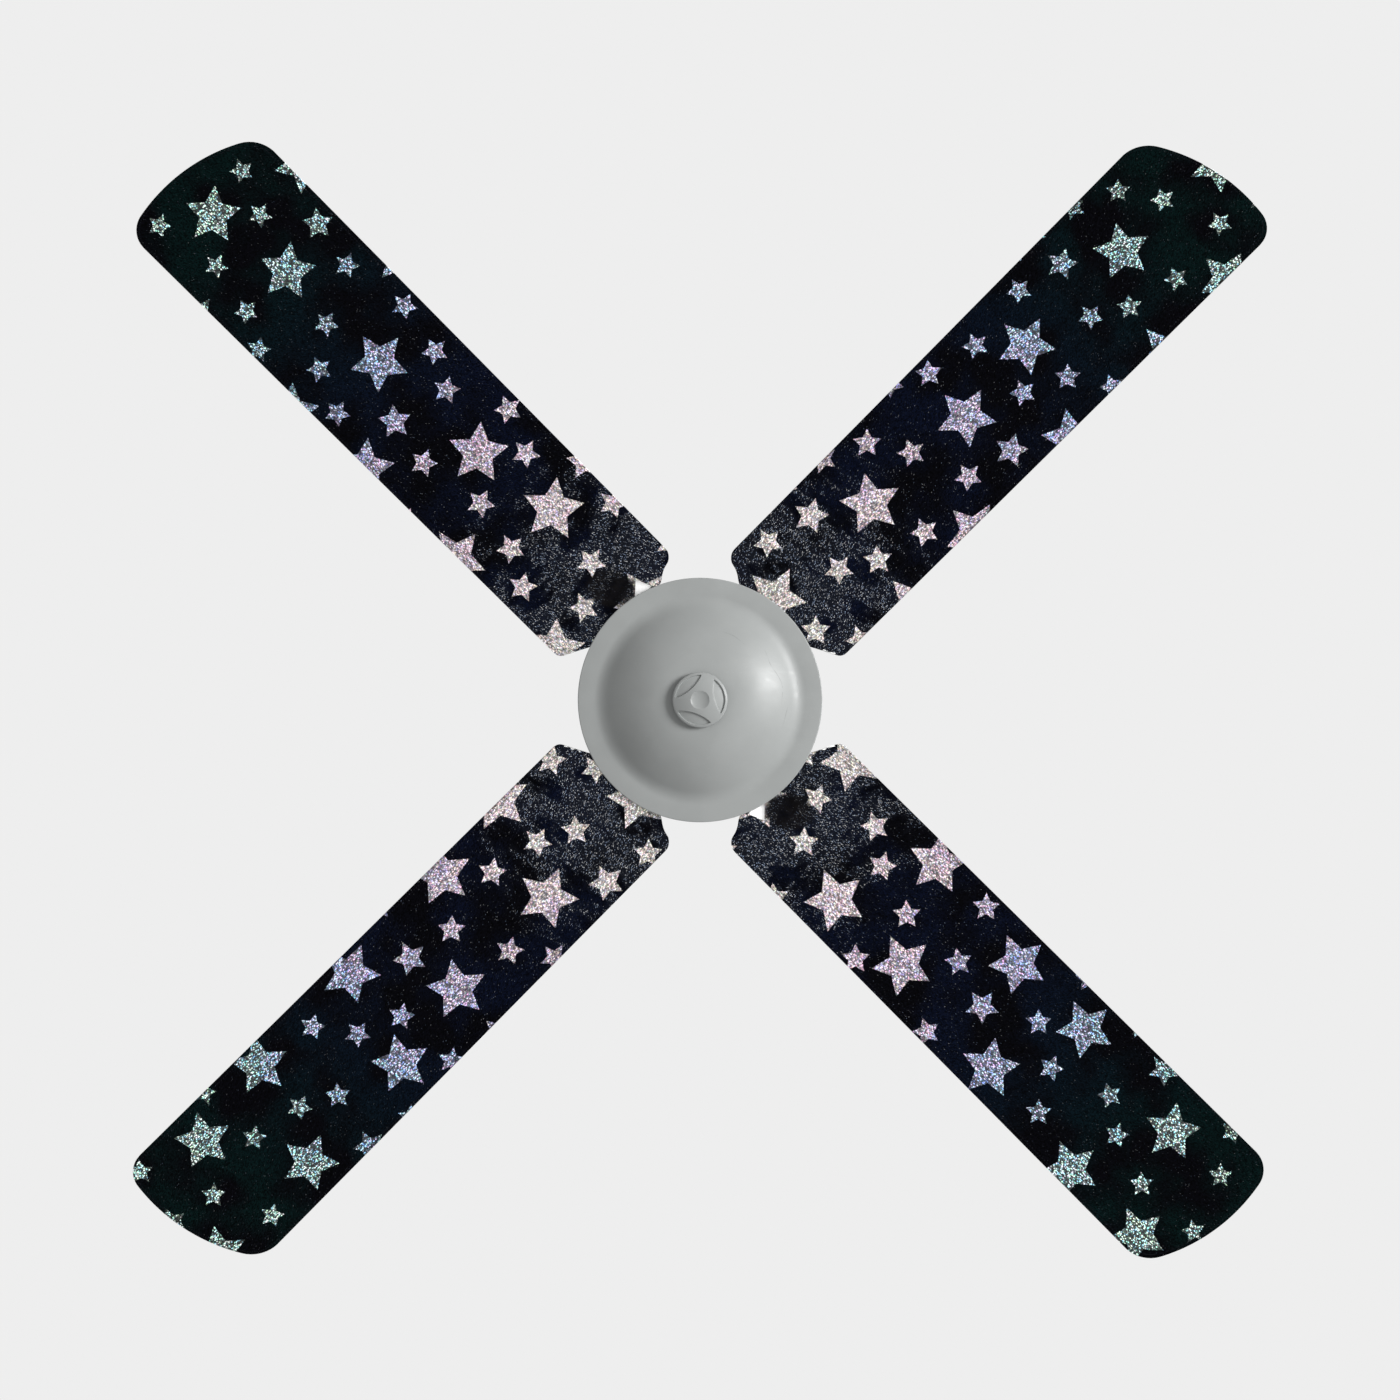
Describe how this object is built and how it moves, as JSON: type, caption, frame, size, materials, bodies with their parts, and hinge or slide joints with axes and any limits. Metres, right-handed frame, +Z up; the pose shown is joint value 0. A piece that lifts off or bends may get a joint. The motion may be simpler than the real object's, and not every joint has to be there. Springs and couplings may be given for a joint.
{
  "type": "ceiling fan",
  "caption": "Ceiling fan on a hook and roller hanger, with slip-on star print fabric covers on its blades and a domed lower cover held by a centre knob.",
  "frame": {"origin": "centre of the hanger bracket's ceiling face, on the fan's spin axis", "axes": "+Z up, out of the bracket's ceiling face along the spin axis; the blades' long axes lie at 45 degrees to X and Y"},
  "size_m": [0.915, 0.9006, 0.3351],
  "materials": {
    "bracket_zinc": "zinc plated, satin",
    "terminal_moulding": "moulded, matt",
    "roller_rubber": "moulded, matt",
    "sleeve_steel": "turned, satin",
    "rod_paint": "powder coated, satin",
    "fastener_zinc": "zinc plated, satin",
    "coupling_casting": "cast, matt",
    "spring_wire": "drawn wire, bright",
    "ground_steel": "ground, satin",
    "lamination_steel": "stacked plates, matt",
    "copper_winding": "varnished",
    "lead_sheath": "extruded, matt",
    "capacitor_moulding": "moulded, satin",
    "canopy_paint": "moulded, satin",
    "coupling_cover_paint": "moulded, satin",
    "collar_screw_zinc": "zinc plated, satin",
    "shell_paint": "cast and painted, satin",
    "magnet_ferrite": "sintered, matt",
    "race_steel": "ground, bright",
    "arm_paint": "painted, satin",
    "blade_board": "sealed board, satin",
    "cover_fabric": "black stretch cloth with foil print",
    "foot_screw_zinc": "zinc plated, satin",
    "ball_steel": "polished",
    "lower_cover_plastic": "moulded and painted, satin",
    "washer_nylon": "moulded, matt",
    "knob_plastic": "moulded, satin"
  },
  "bodies": {
    "ceiling_part": {"hanger_bracket": "bracket_zinc", "terminal_block": "terminal_moulding"},
    "rocking_part": {"hanger_roller": "roller_rubber", "roller_sleeve": "sleeve_steel"},
    "hanging_part": {"downrod": "rod_paint", "shackle_pin": "fastener_zinc", "shackle_nut": "fastener_zinc", "shaft_coupling": "coupling_casting", "coupling_pin": "fastener_zinc", "coupling_clip": "spring_wire", "coupling_grub_screw": "fastener_zinc", "motor_shaft": "ground_steel", "shaft_nut": "fastener_zinc", "stator_core": "lamination_steel", "stator_winding": "copper_winding", "upper_bearing_inner": "ground_steel", "lower_bearing_inner": "ground_steel", "supply_lead": "lead_sheath", "capacitor": "capacitor_moulding"},
    "canopy_part": {"canopy": "canopy_paint", "canopy_screw": "collar_screw_zinc"},
    "coupling_cover_part": {"coupling_cover": "coupling_cover_paint", "coupling_cover_screw": "collar_screw_zinc"},
    "spinning_part": {"rotor_shell_top": "shell_paint", "rotor_shell_bottom": "shell_paint", "rotor_ring": "magnet_ferrite", "upper_bearing_outer": "race_steel", "lower_bearing_outer": "race_steel", "blade_bracket_1": "arm_paint", "blade_bracket_2": "arm_paint", "blade_bracket_3": "arm_paint", "blade_bracket_4": "arm_paint", "blade_1": "blade_board", "blade_2": "blade_board", "blade_3": "blade_board", "blade_4": "blade_board", "blade_cover_1": "cover_fabric", "blade_cover_2": "cover_fabric", "blade_cover_3": "cover_fabric", "blade_cover_4": "cover_fabric", "foot_screw_1": "foot_screw_zinc", "foot_screw_2": "foot_screw_zinc", "foot_screw_3": "foot_screw_zinc", "foot_screw_4": "foot_screw_zinc", "foot_screw_5": "foot_screw_zinc", "foot_screw_6": "foot_screw_zinc", "foot_screw_7": "foot_screw_zinc", "foot_screw_8": "foot_screw_zinc"},
    "upper_cage_part": {"upper_ball_cage": "ball_steel"},
    "lower_cage_part": {"lower_ball_cage": "ball_steel"},
    "lower_cover_part": {"lower_cover": "lower_cover_plastic", "knob_washer": "washer_nylon"},
    "knob_part": {"centre_knob": "knob_plastic"}
  },
  "joints": [
    {"name": "roller_rock", "type": "hinge", "parent": "ceiling_part", "child": "rocking_part", "pos_m": [0, 0, -0.05], "axis": [1, 0, 0], "range_deg": [-5, 5]},
    {"name": "rod_swing", "type": "hinge", "parent": "rocking_part", "child": "hanging_part", "pos_m": [0, 0, -0.0357], "axis": [0, 1, 0], "range_deg": [-5, 5]},
    {"name": "canopy_slide", "type": "slide", "parent": "hanging_part", "child": "canopy_part", "axis": [0, 0, -1], "range_m": [0, 0.045]},
    {"name": "coupling_cover_slide", "type": "slide", "parent": "hanging_part", "child": "coupling_cover_part", "axis": [0, 0, 1], "range_m": [0, 0.035]},
    {"name": "rotor_spin", "type": "hinge", "parent": "hanging_part", "child": "spinning_part", "pos_m": [0, 0, -0.25], "axis": [0, 0, -1], "continuous": true},
    {"name": "upper_cage_spin", "type": "hinge", "parent": "hanging_part", "child": "upper_cage_part", "pos_m": [0, 0, -0.2373], "axis": [0, 0, -1], "continuous": true},
    {"name": "lower_cage_spin", "type": "hinge", "parent": "hanging_part", "child": "lower_cage_part", "pos_m": [0, 0, -0.2627], "axis": [0, 0, -1], "continuous": true},
    {"name": "cover_drop", "type": "slide", "parent": "hanging_part", "child": "lower_cover_part", "axis": [0, 0, -1], "range_m": [0, 0.005]},
    {"name": "knob_turn", "type": "hinge", "parent": "lower_cover_part", "child": "knob_part", "pos_m": [0, 0, -0.3255], "axis": [0, 0, -1], "range_deg": [0, 1440]}
  ],
  "couplings": [
    {"joint": "upper_cage_spin", "follows": "rotor_spin", "ratio": 0.596},
    {"joint": "lower_cage_spin", "follows": "rotor_spin", "ratio": 0.596},
    {"joint": "knob_turn", "follows": "cover_drop", "rad_per_m": 5026.5}
  ]
}
